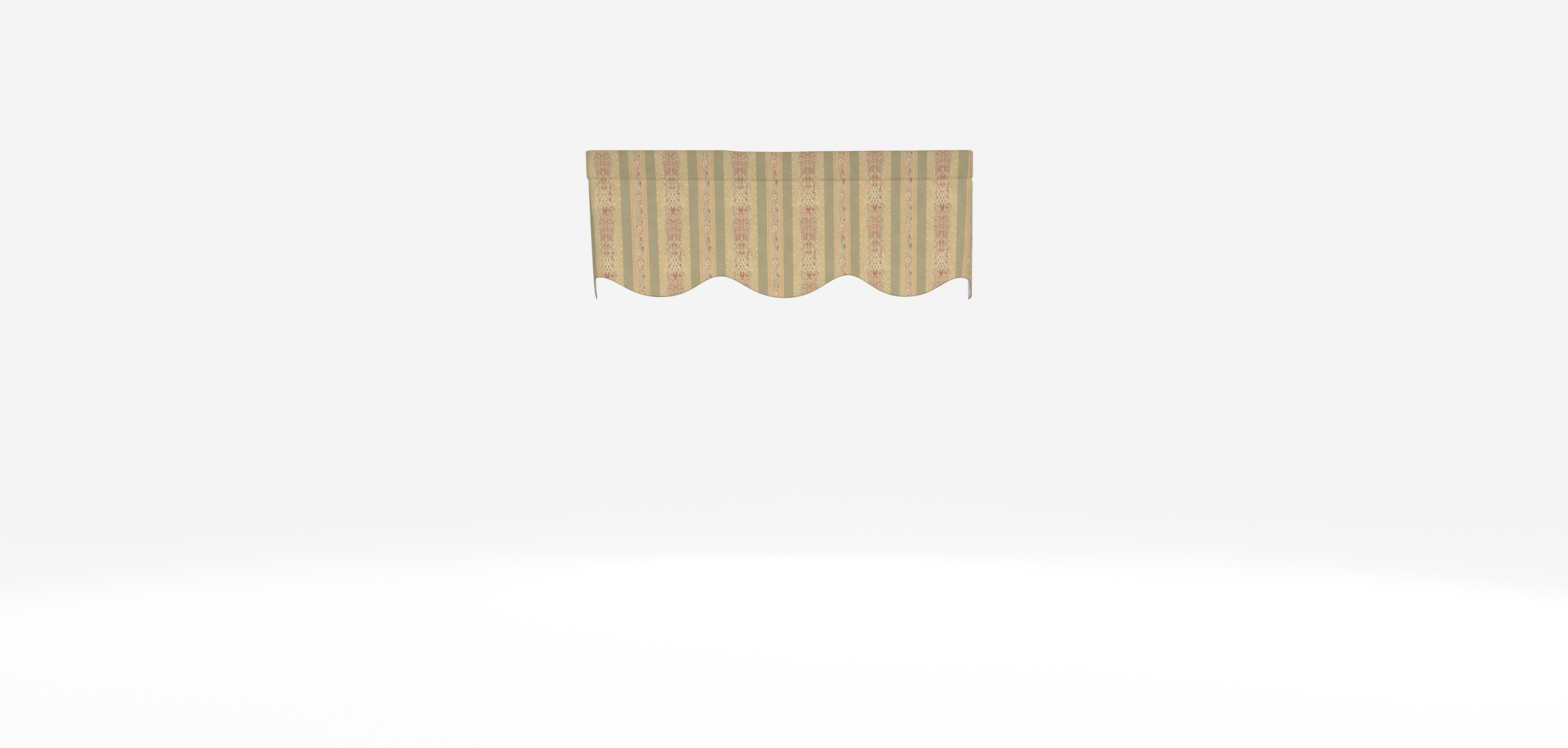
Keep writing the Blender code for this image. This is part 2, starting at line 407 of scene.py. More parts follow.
turn_in = np.ones((len(face_rows.rise), 1))
turn_in[-ROLL_STEPS - 1:] = AT_HEM_ROLL
point, across, heights = lay(face_columns, face_rows, inward * turn_in, creases)
down = np.linalg.norm(np.diff(point, axis=0, prepend=point[:1]), axis=-1).cumsum(axis=0)
foot = len(lap.rise) + FOLD_STEPS  # the roll's last row, below which the print goes by height
over = np.arange(len(down))[:, None] < foot
level = np.where(over, point[foot, :, 2] + down[foot] - down, point[..., 2])
u = across - np.interp(across, *zip(*PRINT_SHIFT)) + pinch(across, point[..., 2])
v = level - np.interp(across, *zip(*PRINT_LEVEL))
mesh = sheet_mesh("face_sheet", point, u, v, **heights)
face = place("face_sheet", mesh, FACE_THICK, "face_cloth")

# %% [markdown]
# ## The lining
#
# The lining is a plain ivory cloth. It starts under the face's lap behind the rod, closes in to
# the stitching, and hangs just behind the face, a millimetre and a half short of its hem.
# Nothing holds it flat, so it bellies back a little below the stitching.

# %% The lining
LINING_THICK = 0.0005
EDGE_STEP = 0.0015  # from the face's edges in to the lining's
BELLY = 0.0013
TUCK = 0.004  # under the face's lap
BEHIND_LAP = (0.001, 0.0007, 0)  # the tucked edge's three rows, before the back of the pocket


def belly(across, height, seam):
    """-depth ease(s) ease(1 - s) (1 + ripple) / 2, s being the part of the way from the stitching
    to the hem, so that it never comes forward."""
    part = hang(height)
    return -BELLY * 4 * ease(part) * ease(1 - part) * (1 + ripple(across, BELLY_WAVES) / 3) / 2


tuck = rows(1.0, rise=[TUCK - BACK_LAP, -BACK_LAP, -BACK_LAP - TUCK],
            offset=np.subtract(BEHIND_LAP, POCKET_HALF), way=np.pi)
back_wall = pocket_rows(np.r_[0.3, 0.55, wall_parts[5:]], -POCKET_HALF, -LINING_OFFSET)
skirt = skirt_rows(np.linspace(0, 1, 33)[1:], -LINING_OFFSET)
lining_rows = stack(tuck, back_wall, skirt._replace(rise=EDGE_STEP * skirt.hem))
half = columns_to(EDGE - EDGE_STEP / RETURN_RUN, front=110, corner=12, side=24)
point, across, heights = lay(both_sides(half), lining_rows, 0.0, belly)
mesh = sheet_mesh("lining_sheet", point, across, point[..., 2], **heights)
lining = place("lining_sheet", mesh, LINING_THICK, "lining")

# %% [markdown]
# ## The stitching
#
# A lockstitch shows as a row of short threads on either cloth, each dipping into it at its ends.
# One stitch is a bent capsule, and one array operation makes every ring of every stitch.

# %% One row of stitches along a line of points
STITCH_LENGTH, STITCH_PITCH = 0.0026, 0.0032
THREAD_RADIUS = 0.00032
RINGS = np.array([-1.0, -0.8, -0.35, 0.35, 0.8, 1.0])  # their places, from end to end
RING_SIDES = 6


def stitch_row(line, outward):
    """Centres every pitch along the line. A ring at s from -1 to 1 stands at s length / 2 along
    the line, has radius r sqrt(1 - s^4), and is lifted by r (1 - 2 s^2) off the cloth."""
    at = np.linalg.norm(np.diff(line, axis=0, prepend=line[:1]), axis=1).cumsum()
    middle = np.arange(STITCH_PITCH, at[-1] - STITCH_PITCH, STITCH_PITCH)
    sample = lambda values, where: np.stack([np.interp(where, at, v) for v in values.T], -1)
    centre, out = sample(line, middle), sample(outward, middle)
    along = sample(line, middle + STITCH_LENGTH / 2) - sample(line, middle - STITCH_LENGTH / 2)
    along /= np.linalg.norm(along, axis=1)[:, None]
    radius = THREAD_RADIUS * np.sqrt(np.clip(1 - RINGS ** 4, 0.04, 1))[:, None]
    lift = THREAD_RADIUS * (1 - 2 * RINGS ** 2)[:, None]
    turn = np.arange(RING_SIDES) * np.pi / 3
    ring = lambda v: v[:, None, None, :]
    point = ring(centre) + ring(along) * (RINGS * STITCH_LENGTH / 2)[None, :, None, None]
    point = point + ring(out) * (lift + radius * np.cos(turn))[None, ..., None]
    return point + ring(np.cross(along, out)) * (radius * np.sin(turn))[None, ..., None]


def stitch_mesh(name, *stitch_rows):
    """Quads between neighbouring rings, and a six-sided cap at either end of every stitch."""
    point = np.concatenate(stitch_rows)
    index = np.arange(point[..., 0].size).reshape(point.shape[:3])
    ahead = np.roll(index, -1, axis=2)
    quads = np.stack([index[:, :-1], ahead[:, :-1], ahead[:, 1:], index[:, 1:]], axis=-1)
    caps = np.concatenate([index[:, 0, ::-1], index[:, -1]])
    mesh = bpy.data.meshes.new(name)
    mesh.from_pydata(point.reshape(-1, 3), [], quads.reshape(-1, 4).tolist() + caps.tolist())
    mesh.shade_smooth()
    return mesh


print("a stitch has", len(RINGS), "rings")

# %% The stitching on both cloths
CLEAR = 0.0001  # from a cloth's surface to the middle line of its stitches
INSET = 0.05  # of a column, from the side edge to the end of the stitching

seam_columns = both_sides(columns_to(EDGE - INSET, front=700, corner=40, side=200))
front_row = rows(0.0, seam=[1.0], offset=FACE_OFFSET + FACE_THICK / 2 + CLEAR)
back_row = rows(0.0, seam=[1.0], offset=-LINING_OFFSET - LINING_THICK / 2 - CLEAR)
front_line = lay(seam_columns, front_row, 0.0, creases)[0][0]
back_line = lay(seam_columns, back_row, 0.0)[0][0]
turn = plan(seam_columns, front_line[:, 2])[3]
outward = np.stack([np.sin(turn), -np.cos(turn), np.zeros(turn.shape)], axis=-1)
sewing = stitch_mesh("stitching", stitch_row(front_line, outward), stitch_row(back_line, -outward))
stitching = place("stitching", sewing, 0)
print("stitching:", len(sewing.polygons), "faces")

# %% [markdown]
# ## Drawing a print with nodes
#
# The print is an upholsterer's floral stripe: a wide stripe with a mirrored nosegay, a green band,
# a narrow stripe with a climbing sprig, and a green band again. It is drawn as a designer charts a
# weave: every motif is made of short strokes, each a soft ellipse. Nodes measure how far a place
# on the flat cloth is from the nearest stroke of each dye. No picture is used, so the print stays
# sharp at any distance.

# %% A helper that adds nodes from left to right
class Loom:
    """Builds one material: each call adds a node, joins its inputs, and gives its output."""

    def __init__(self, name):
        self.material = bpy.data.materials.new(name)
        self.material.use_nodes = True
        self.tree = self.material.node_tree
        self.tree.nodes.clear()

    def add(self, kind, *inputs, result=0, **settings):
        """One node, its inputs filled in order, and its settings. Forty stand in a line."""
        node = self.tree.nodes.new("ShaderNode" + kind)
        line, place = divmod(len(self.tree.nodes), 40)
        node.location = (180 * place, -220 * line)
        for name, value in settings.items():
            setattr(node, name, value)
        for socket, value in zip(node.inputs, inputs):
            self.join(value, socket)
        return node.outputs[result]

    def join(self, value, socket):
        """A link from another node, or a plain value. None leaves the input as it is."""
        if isinstance(value, bpy.types.NodeSocket):
            self.tree.links.new(value, socket)
        elif value is not None:
            socket.default_value = value

    def math(self, operation, *inputs):
        """One operation on plain numbers."""
        return self.add("Math", *inputs, operation=operation)

    def vector(self, operation, *inputs):
        """One operation on vectors. A length or a dot product comes out as a plain number."""
        result = int(operation in ("LENGTH", "DOT_PRODUCT"))
        return self.add("VectorMath", *inputs, operation=operation, result=result)

    def times(self, one, other):
        """one * other"""
        return self.math("MULTIPLY", one, other)

    def plus(self, one, other):
        """one + other"""
        return self.math("ADD", one, other)

    def length(self, *parts):
        """The square root of the sum of the parts' squares."""
        return self.vector("LENGTH", self.add("CombineXYZ", *parts))

    def split(self, vector):
        """The first two of a vector's numbers."""
        return self.add("SeparateXYZ", vector).node.outputs[:2]

    def mix(self, share, under, over, blend="MIX"):
        """under (1 - share) + over share, or one of the other ways to lay a colour on another."""
        inputs = (share, None, None, None, None, None, under, over)
        return self.add("Mix", *inputs, result=2, data_type="RGBA", blend_type=blend)

    def step(self, value, start, end, low=0.0, high=1.0):
        """low up to start, high from end on, and a smooth step between."""
        return self.add("MapRange", value, start, end, low, high, interpolation_type="SMOOTHSTEP")

    def noise(self, vector, scale, detail=2.0, roughness=0.5):
        """A smooth noise from 0 to 1, with that many finer layers on top."""
        return self.add("TexNoise", vector, None, scale, detail, roughness)

    def finish(self, **inputs):
        """The shader and the output. What is the same all over goes on the shader itself."""
        shader = self.tree.nodes.new("ShaderNodeBsdfPrincipled")
        for name, value in inputs.items():
            self.join(value, shader.inputs[name.replace("_", " ")])
        out = self.tree.nodes.new("ShaderNodeOutputMaterial")
        self.join(shader.outputs[0], out.inputs[0])
        print(self.material.name, "has", len(self.tree.nodes), "nodes")
        return self.material


def dye(red, green, blue):
    """A colour from its display values, 0 to 255: ((c + 0.055) / 1.055)^2.4 for each."""
    linear = [((c / 255 + 0.055) / 1.055) ** 2.4 for c in (red, green, blue)]
    return (*linear, 1.0)


print("sage:", [round(c, 3) for c in dye(172, 161, 126)])

# %% [markdown]
# ## The chart of the wide stripe
#
# A stroke goes from one place to another, in tenths of a millimetre: across from the stripe's
# middle, and down from the rosette's. A fifth number is half its breadth, where that isn't 8. The
# mirrored strokes are charted on the right only, and appear on the left as well.

# %% Mirrored strokes of the wide stripe, by dye
WIDE_PINK = (
    (0, -50, 32, 0, 9), (32, 0, 0, 50, 9), (82, -95, 120, -55), (126, -40, 84, 10),
    (86, 20, 140, 65), (140, 80, 90, 130), (86, 136, 60, 190, 10), (66, 200, 76, 320),
    (62, 190, 8, 166), (56, 415, 56, 456, 39), (50, 470, 8, 520, 14), (24, 545, 56, 605),
    (7, 670, 42, 605), (0, 702, 0, 724, 11), (40, -130, 74, -90), (60, -165, 34, -140, 9),
    (56, -270, 58, -195), (152, 405, 132, 455, 9), (70, 1325, 36, 1360, 12), (170, -90, 200, -55),
)
WIDE_ROSE = (
    (0, 1190, 0, 1315, 16), (30, 1164, 16, 1275, 9),
)
WIDE_DARK_RED = (
    (44, -54, 68, -24), (68, 24, 44, 54), (16, -34, 34, -12, 6), (34, 12, 16, 34, 6),
    (52, -244, 50, -214, 10), (46, -196, 4, -176, 7), (50, 206, 56, 304), (46, 198, 16, 188),
    (64, 384, 14, 462, 10), (32, 610, 62, 634, 9), (54, 636, 22, 672, 9), (47, 1170, 34, 1284, 9),
    (48, 1330, 48, 1342, 11), (24, 1306, 24, 1316, 10), (41, 794, 41, 822, 13),
    (41, 960, 41, 990, 13), (41, 1126, 41, 1152, 12), (26, 124, 54, 164, 7),
    (68, -116, 44, -82, 6),
)
WIDE_MOSS = (
    (104, -156, 136, -108, 7), (110, 22, 132, -24, 7), (140, 30, 172, 74, 7),
    (114, 194, 140, 150, 7), (56, -170, 80, -132, 6), (104, 220, 122, 320),
    (180, -20, 206, 24, 7), (166, 122, 196, 94, 7), (82, 932, 82, 858), (84, 1024, 84, 1074),
    (0, 1034, 0, 1070, 10), (98, 1164, 122, 1212, 7), (164, -170, 194, -128, 7),
    (126, 260, 156, 212, 7),
)
WIDE_LEAF = (
    (130, 276, 174, 350, 9), (184, 260, 152, 330), (114, 440, 154, 506, 10), (166, 370, 196, 436),
    (162, 1310, 142, 1376, 9), (116, 1280, 96, 1350), (196, 1266, 174, 1334),
    (142, -284, 124, -226, 9), (176, -264, 154, -206), (96, -200, 118, -260, 7),
    (198, 152, 176, 206), (144, 532, 168, 584),
)
WIDE_CREAM = (
    (0, -15, 0, 15, 12), (246, 1006, 284, 1070), (214, 1034, 250, 1102), (270, 1094, 296, 1150),
    (114, 700, 148, 636), (104, 840, 126, 896), (128, 1000, 104, 1064), (216, 786, 244, 846),
    (176, 1070, 142, 1126, 7), (88, 526, 102, 586, 7), (240, 884, 220, 946, 7),
    (304, 606, 314, 650, 7),
)
print("mirrored strokes:", sum(map(len, (WIDE_PINK, WIDE_ROSE, WIDE_DARK_RED, WIDE_MOSS,
                                         WIDE_LEAF, WIDE_CREAM))))

# %% Strokes of the wide stripe that aren't mirrored
LONE_PINK = (
    (190, 520, 280, 600, 7), (284, 606, 260, 672, 7), (134, 736, 162, 806, 16),
    (122, 800, 176, 790, 13), (-206, 526, -144, 616), (-246, 500, -190, 566),
    (146, 1204, 174, 1246), (-152, 760, -166, 830, 16),
)
LONE_DARK_RED = (
    (182, 576, 134, 740, 9), (120, 766, 112, 806), (164, 770, 176, 812),
    (106, 1214, 122, 1246, 12), (150, 1206, 144, 1244, 10), (134, 910, 160, 980, 11),
    (166, 1120, 146, 1160, 7),
)
LONE_LEAF = (
    (-144, 606, -110, 710), (-146, 930, -144, 1010, 16), (-176, 1136, -156, 1190),
    (-200, 1210, -176, 1274), (226, 1144, 206, 1196), (260, 1186, 230, 1240),
    (266, 660, 234, 716, 7),
)
print("lone strokes:", len(LONE_PINK + LONE_DARK_RED + LONE_LEAF))

# %% The narrow stripe's sprig, from the same level down
SPRIG_LEAF = (
    (-46, 320, 16, 430), (-54, 386, 10, 500), (-40, 460, 20, 570), (-30, 536, 26, 636),
    (82, 336, 60, 386), (74, 560, 46, 634), (44, 1030, -10, 1136), (54, 1126, 0, 1230),
    (26, 1210, -30, 1316), (40, 1300, -12, 1386), (20, -300, -22, -214), (-36, -266, -46, -186),
    (-70, -90, -40, -140, 7), (-68, 994, -34, 1056, 7), (72, 926, 54, 980, 7),
)
SPRIG_CREAM = (
    (-66, 346, -6, 456, 6), (-60, 440, -4, 540, 6), (-46, 514, 6, 616, 6), (60, 1050, 8, 1154, 6),
    (4, 1166, -44, 1266, 6), (24, 1264, -26, 1366, 6), (-46, 40, -64, 120, 6),
    (-50, 926, -72, 1000, 6), (50, 590, 24, 680, 6), (-70, 580, -30, 680, 6),
    (66, 360, 42, 440, 6), (76, 1080, 46, 1160, 6),
)
SPRIG_PINK = (
    (68, -64, 80, 14), (78, 26, 54, 70), (18, 98, 16, 140, 15), (20, 210, 26, 300, 24),
    (60, 456, 60, 544, 28), (64, 816, 80, 894), (78, 914, 46, 964), (30, 990, 30, 1030, 14),
    (66, 1214, 68, 1258, 28), (-74, -40, -50, -90, 7), (-76, 840, -46, 804, 7),
    (56, -220, 66, -160, 12),
)
SPRIG_RED = (
    (54, -214, 66, -154, 9), (18, -106, 18, -88, 10), (26, 226, 28, 246, 15),
    (28, 276, 24, 290, 12), (68, 474, 66, 494, 16), (54, 520, 56, 536, 13), (16, 796, 50, 790, 7),
    (76, 1224, 72, 1246, 14), (54, -240, 64, -220, 9),
)
SPRIG_MOSS = (
    (-16, -26, -14, -14, 6), (8, 14, 10, 26, 6), (-22, 18, -20, 30, 5), (-16, 866, -14, 878, 6),
    (8, 904, 10, 916, 6), (-22, 908, -20, 920, 5), (54, 286, 32, 336, 6), (48, 576, 64, 548, 6),
    (36, 1286, 56, 1270, 6),
)
print("sprig strokes:", len(SPRIG_LEAF + SPRIG_CREAM + SPRIG_PINK + SPRIG_RED + SPRIG_MOSS))

# %% [markdown]
# ## Strokes into nodes
#
# Two dot products turn and squeeze the plane so that one stroke becomes a round spot of radius 1.
# The length of what comes out is the distance from the stroke, and the least of many distances
# is that from a whole motif. A Mapping node would do the same, but Cycles runs out of room for
# its values when a material has more than eighty of them.

# %% Distance from the nearest stroke
ROUND_END = 0.6  # of the half breadth, added at either end of a stroke
SOFT_EDGE = 0.28  # of the half breadth, over which a dye fades on either side of its edge


def from_stroke(loom, plane, x, y, to_x, to_y, half=8):
    """|((p - c).n / half breadth, (p - c).e / half length)|, where c is the stroke's middle, e the
    way it runs and n the way across it, all in millimetres once the chart's tenths are divided.
    The plane's third value is 1, so that one dot product both turns and shifts."""
    start, end, half = np.array([x, y]) / 10, np.array([to_x, to_y]) / 10, half / 10
    length = float(np.linalg.norm(end - start))
    way = (end - start) / length
    parts = []
    for axis, reach in (([way[1], -way[0]], half), (way, length / 2 + ROUND_END * half)):
        numbers = np.append(axis, -np.array(axis) @ ((end + start) / 2)) / reach
        parts.append(loom.vector("DOT_PRODUCT", plane, tuple(numbers)))
    return loom.length(*parts)


def nearest(loom, plane, chart):
    """The least distance from the strokes of a chart."""
    least = None
    for stroke in chart:
        spot = from_stroke(loom, plane, *stroke)
        least = spot if least is None else loom.math("MINIMUM", least, spot)
    return least


def spots(loom, across, along, middle, period, half_across, half_along):
    """|((across - middle) / half_across, wrap(along, period) / half_along)|: a string of spots."""
    aside = loom.math("MULTIPLY_ADD", across, 1 / half_across, -middle / half_across)
    place = loom.math("WRAP", along, period / 2, -period / 2)
    return loom.length(aside, loom.times(place, 1 / half_along))


def paint(loom, colour, distance, tint, share):
    """Lays a dye over the colour where the distance is under 1."""
    return loom.mix(loom.step(distance, 1 + SOFT_EDGE, 1 - SOFT_EDGE, 0.0, share), colour, tint)


def paint_charts(loom, colour, *layers):
    """One chart of strokes after another: the plane it lies on, strokes, dye and share."""
    for plane, chart, tint, share in layers:
        colour = paint(loom, colour, nearest(loom, plane, chart), tint, share)
    print("nodes so far:", len(loom.tree.nodes))
    return colour


print("a stroke takes 5 nodes")

# %% The stripes' ground colours, across half a repeat and down the wide stripe
REPEAT_ACROSS, REPEAT_DOWN = 176.7, 171.0  # mm
WIDE_MIDDLE = 71.2  # mm across from the cloth's middle
WIDE_HALF, NARROW_HALF = 42.3, 20.9
NARROW_MIDDLE = REPEAT_ACROSS / 2
BLEND = 0.3  # mm either way, where two stripes meet
DOWN_START = 31.0  # mm above the rosette, where the repeat is cut
SAGE, ROSE_TAN, STRAW = dye(172, 161, 126), dye(211, 187, 150), dye(219, 195, 146)
EDGE_TAN = dye(205, 180, 136)
GROUND = (  # mm across, and the colour there
    (0, ROSE_TAN), (17, ROSE_TAN), (25, dye(208, 186, 143)), (34, dye(211, 186, 138)),
    (41.6, EDGE_TAN), (WIDE_HALF - BLEND, EDGE_TAN), (WIDE_HALF + BLEND, SAGE),
    (NARROW_MIDDLE - NARROW_HALF - BLEND, SAGE), (NARROW_MIDDLE - NARROW_HALF + BLEND, STRAW),
    (68.8, STRAW), (69.4, dye(209, 177, 132)), (77, dye(212, 182, 138)),
    (82, dye(207, 182, 144)), (NARROW_MIDDLE, dye(203, 183, 148)),
)
DOWN_GROUND = (  # mm down from the cut, and the colour there in the wide stripe's middle
    (0, ROSE_TAN), (50, ROSE_TAN), (58, dye(202, 183, 147)), (82, dye(203, 185, 148)),
    (92, dye(209, 187, 144)), (140, dye(211, 189, 146)), (152, ROSE_TAN), (171, ROSE_TAN),
)


def ramp(loom, value, stops, scale):
    """Straight blends between stops, each a place and a colour, read at value / scale."""
    socket = loom.add("ValToRGB", loom.times(value, 1 / scale))
    elements = socket.node.color_ramp.elements
    while len(elements) < len(stops):
        elements.new(1.0)
    for element, (place, colour) in zip(elements, stops):
        element.position, element.color = place / scale, colour
    return socket


print("ground stops:", len(GROUND), "across,", len(DOWN_GROUND), "down")

# %% [markdown]
# ## The printed face
#
# The flat cloth's UV map is snapped to threads less than half a millimetre wide, as a woven
# pattern is, and wrapped at the repeat. The dyes go over the ground one by one, each a little
# see-through, because the ground's own threads cross every motif.

# %% The print's coordinates and ground
THREAD = 0.42  # mm
WOBBLE, WOBBLE_SCALE = 2.4, 260.0  # mm, and how many waves of it go to a metre


def print_plane(loom, flat):
    """Millimetres across and down from the first rosette, with a small wobble, in whole threads."""
    wobble = loom.add("TexNoise", flat, None, WOBBLE_SCALE, 1.0, 0.5, result=1)
    wobble = loom.vector("SUBTRACT", wobble, (0.5, 0.5, 0.5))
    wobble = loom.vector("MULTIPLY", wobble, (WOBBLE, WOBBLE, 0.0))
    plane = loom.vector("MULTIPLY_ADD", flat, (1000.0, -1000.0, 0.0), wobble)
    return loom.split(loom.vector("SNAP", plane, (THREAD, THREAD, 1.0)))


def from_stripe(loom, across, middle):
    """wrap(across - middle): how far a place lies from the nearest stripe of one kind."""
    place = loom.math("SUBTRACT", across, middle)
    return loom.math("WRAP", place, REPEAT_ACROSS / 2, -REPEAT_ACROSS / 2)


loom = Loom("printed_cotton")
flat = loom.add("UVMap", uv_map="flat_cloth")
across, along = print_plane(loom, flat)
from_wide = from_stripe(loom, across, WIDE_MIDDLE)
beside = loom.math("ABSOLUTE", from_wide)
down = loom.math("WRAP", along, REPEAT_DOWN - DOWN_START, -DOWN_START)
colour = ramp(loom, beside, GROUND, REPEAT_ACROSS / 2)
lowered = loom.plus(down, DOWN_START)
in_centre = loom.step(beside, 26.0, 17.0)
colour = loom.mix(in_centre, colour, ramp(loom, lowered, DOWN_GROUND, REPEAT_DOWN))
print("a repeat is", REPEAT_ACROSS, "x", REPEAT_DOWN, "mm")

# %% The lattice in the middle of the nosegay
CELL_ACROSS, CELL_DOWN, LATTICE_MIDDLE = 8.2, 16.6, 97.8
WINDOW_MIDDLE = 93.0


def lattice(loom, beside, down):
    """s and t = across / cell +- (down - middle) / cell. A line runs where either is half way
    between whole numbers, inside a window that fades at 10 mm across and 22 mm up and down."""
    right = loom.times(beside, 1 / CELL_ACROSS)
    fall = loom.math("MULTIPLY_ADD", down, 1 / CELL_DOWN, -LATTICE_MIDDLE / CELL_DOWN + 0.5)
    one = loom.math("PINGPONG", loom.plus(right, fall), 0.5)
    other = loom.math("PINGPONG", loom.math("SUBTRACT", right, fall), 0.5)
    line = loom.step(loom.math("MAXIMUM", one, other), 0.38, 0.47)
    aside = loom.step(beside, 12.5, 9.5)
    level = loom.math("ABSOLUTE", loom.math("SUBTRACT", down, WINDOW_MIDDLE))
    return loom.times(loom.times(line, aside), loom.step(level, 25.0, 20.0))


mesh_lines = lattice(loom, beside, down)
print("lattice cells:", CELL_ACROSS, "x", CELL_DOWN, "mm")

# %% [markdown]
# ## Filigree
#
# Between the charted motifs the real cloth is full of hair-thin scrolls and blades. They follow
# no rule that the eye can find, so contour lines of a smooth noise stand in for them. Fed with
# mirrored coordinates the noise draws scrolls that mirror each other, stretched along a leaning
# plane it draws blades that lean outwards, and stretched away from the rosette, rays round it.

# %% Where the filigree runs
FRAY = 16.0  # mm by which a noise draws the nosegay's outline in
LEAN = math.radians(36)  # of the blades, outwards

mirrored = loom.add("CombineXYZ", beside, down, 1.0)
single = loom.add("CombineXYZ", from_wide, down, 1.0)
frayed = loom.noise(loom.vector("MULTIPLY", mirrored, (0.16, 0.05, 1.0)), 1.0, 1.0)
reach = loom.math("MULTIPLY_ADD", frayed, FRAY, beside)
in_nosegay = loom.step(reach, 37.0, 30.0)
in_middle = loom.step(reach, 32.0, 24.0)
bearing = loom.math("ARCTAN2", beside, down)
away = loom.length(beside, down)
rays = loom.add("CombineXYZ", loom.times(bearing, 14.0), away, 1.0)
near_rose = loom.times(loom.step(away, 33.0, 24.0), in_nosegay)
far_off = loom.times(loom.step(away, 24.0, 33.0), in_nosegay)
turned_in = loom.vector("DOT_PRODUCT", mirrored, (math.cos(LEAN), math.sin(LEAN), 0.0))
turned_down = loom.vector("DOT_PRODUCT", mirrored, (-math.sin(LEAN), math.cos(LEAN), 0.0))
leaning = loom.add("CombineXYZ", turned_in, turned_down, 1.0)
reddish = loom.math("MAXIMUM", loom.step(down, 44.0, 24.0), loom.step(down, 104.0, 120.0))
print("nodes so far:", len(loom.tree.nodes))

# %% Scrolls and blades
CONTOURS = 5.0  # from the noise's lowest value to its highest


def scrolls(loom, plane, across, along, layer, half_breadth):
    """Contour lines: pingpong(contours noise, 1/2) under the half breadth, fading from 0.4 to 1.5
    of it, where the noise is read at (across x, along y, layer) for x and y in millimetres."""
    place = loom.vector("MULTIPLY_ADD", plane, (across, along, 0.0), (0.0, 0.0, layer))
    ridge = loom.math("PINGPONG", loom.times(loom.noise(place, 1.0, 0.0), CONTOURS), 0.5)
    return loom.step(ridge, half_breadth * 1.5, half_breadth * 0.4)


def paint_scrolls(loom, colour, half_breadth, *layers):
    """One set after another: plane, where, scale across and along, layer, share and dye."""
    for plane, where, across, along, layer, share, tint in layers:
        line = scrolls(loom, plane, across, along, layer, half_breadth)
        colour = loom.mix(loom.times(line, loom.times(where, share)), colour, tint)
    print("nodes so far:", len(loom.tree.nodes))
    return colour


colour = paint_scrolls(
    loom, colour, 0.16,
    (mirrored, in_middle, 0.17, 0.11, 19.0, 0.38, dye(172, 140, 114)),
    (leaning, far_off, 0.20, 0.05, 11.0, 0.66, dye(154, 145, 104)),
    (leaning, far_off, 0.22, 0.05, 3.0, 0.72, dye(236, 214, 170)),
    (leaning, in_middle, 0.20, 0.05, 43.0, 0.32, dye(180, 136, 114)),
    (rays, near_rose, 0.20, 0.05, 7.0, 0.66, dye(152, 138, 102)),
    (rays, near_rose, 0.22, 0.05, 31.0, 0.45, dye(228, 205, 160)),
    (mirrored, loom.times(in_middle, reddish), 0.19, 0.14, 27.0, 0.45, dye(196, 132, 112)),
)
colour = loom.mix(mesh_lines, colour, dye(232, 210, 172))

# %% The nosegay's dyes, from the palest to the darkest
LEAF, MOSS, CREAM = dye(148, 142, 108), dye(112, 100, 76), dye(240, 220, 176)
PINK, DARK_RED = dye(206, 132, 110), dye(132, 48, 46)
colour = paint_charts(
    loom, colour,
    (mirrored, WIDE_CREAM, CREAM, 0.75), (mirrored, WIDE_LEAF, LEAF, 0.62),
    (mirrored, WIDE_PINK, PINK, 0.62), (mirrored, WIDE_ROSE, dye(198, 92, 84), 0.72),
    (mirrored, WIDE_MOSS, MOSS, 0.7), (mirrored, WIDE_DARK_RED, DARK_RED, 0.82),
    (single, LONE_LEAF, LEAF, 0.85), (single, LONE_PINK, PINK, 0.75),
    (single, LONE_DARK_RED, DARK_RED, 0.9),
)

# %% The borders and the sprig's ground
DASH_STEP, DOT_STEP = 18.6, 5.3  # mm
WIDE_BORDER, NARROW_BORDER = 38.6, 17.4  # mm from the middle of each stripe
SPRIG_TURN = 83.0  # mm down, where the sprig leans over to the other side

from_narrow = from_stripe(loom, across, WIDE_MIDDLE + REPEAT_ACROSS / 2)
near_narrow = loom.math("ABSOLUTE", from_narrow)
sprig = loom.add("CombineXYZ", from_narrow, down, 1.0)
for aside, border, every, half_across, half_along, tint, share in (
    (beside, WIDE_BORDER, DOT_STEP, 0.6, 0.9, dye(196, 160, 116), 0.5),
    (beside, WIDE_BORDER, DASH_STEP, 1.3, 2.6, dye(238, 214, 150), 0.92),
    (near_narrow, NARROW_BORDER, DOT_STEP, 0.8, 1.1, dye(190, 136, 92), 0.68),
):
    string = spots(loom, aside, along, border, every, half_across, half_along)
    colour = paint(loom, colour, string, tint, share)
lean = loom.math("ABSOLUTE", loom.math("SUBTRACT", down, SPRIG_TURN))
lean = loom.math("MULTIPLY_ADD", lean, 0.5, from_narrow)
blades = loom.add("CombineXYZ", lean, down, 1.0)
in_sprig = loom.step(near_narrow, 10.5, 7.0)
colour = paint_scrolls(
    loom, colour, 0.14,
    (blades, in_sprig, 0.42, 0.06, 5.0, 0.7, dye(236, 216, 176)),
    (blades, in_sprig, 0.42, 0.06, 15.0, 0.72, dye(142, 144, 114)),
    (blades, in_sprig, 0.42, 0.06, 23.0, 0.45, dye(190, 146, 124)),
)

# %% Two flower heads and the sprig's strokes
FLOWER_LEVELS, PETALS = (0.0, 89.0), 7.0


def flower(loom, plane, level):
    """The distance from a flower's middle, and cos(petals a + 7 noise), a being the bearing: its
    petals are where that is high, and the gaps between them, all unlike, where it is low."""
    place = loom.vector("ADD", plane, (0.5, -level, -1.0))
    bearing = loom.math("ARCTAN2", *loom.split(place))
    away = loom.vector("LENGTH", place)
    petals = loom.times(bearing, PETALS)
    twisted = loom.math("MULTIPLY_ADD", loom.noise(plane, 0.3, 1.0), 7.0, petals)
    return away, loom.math("COSINE", twisted)


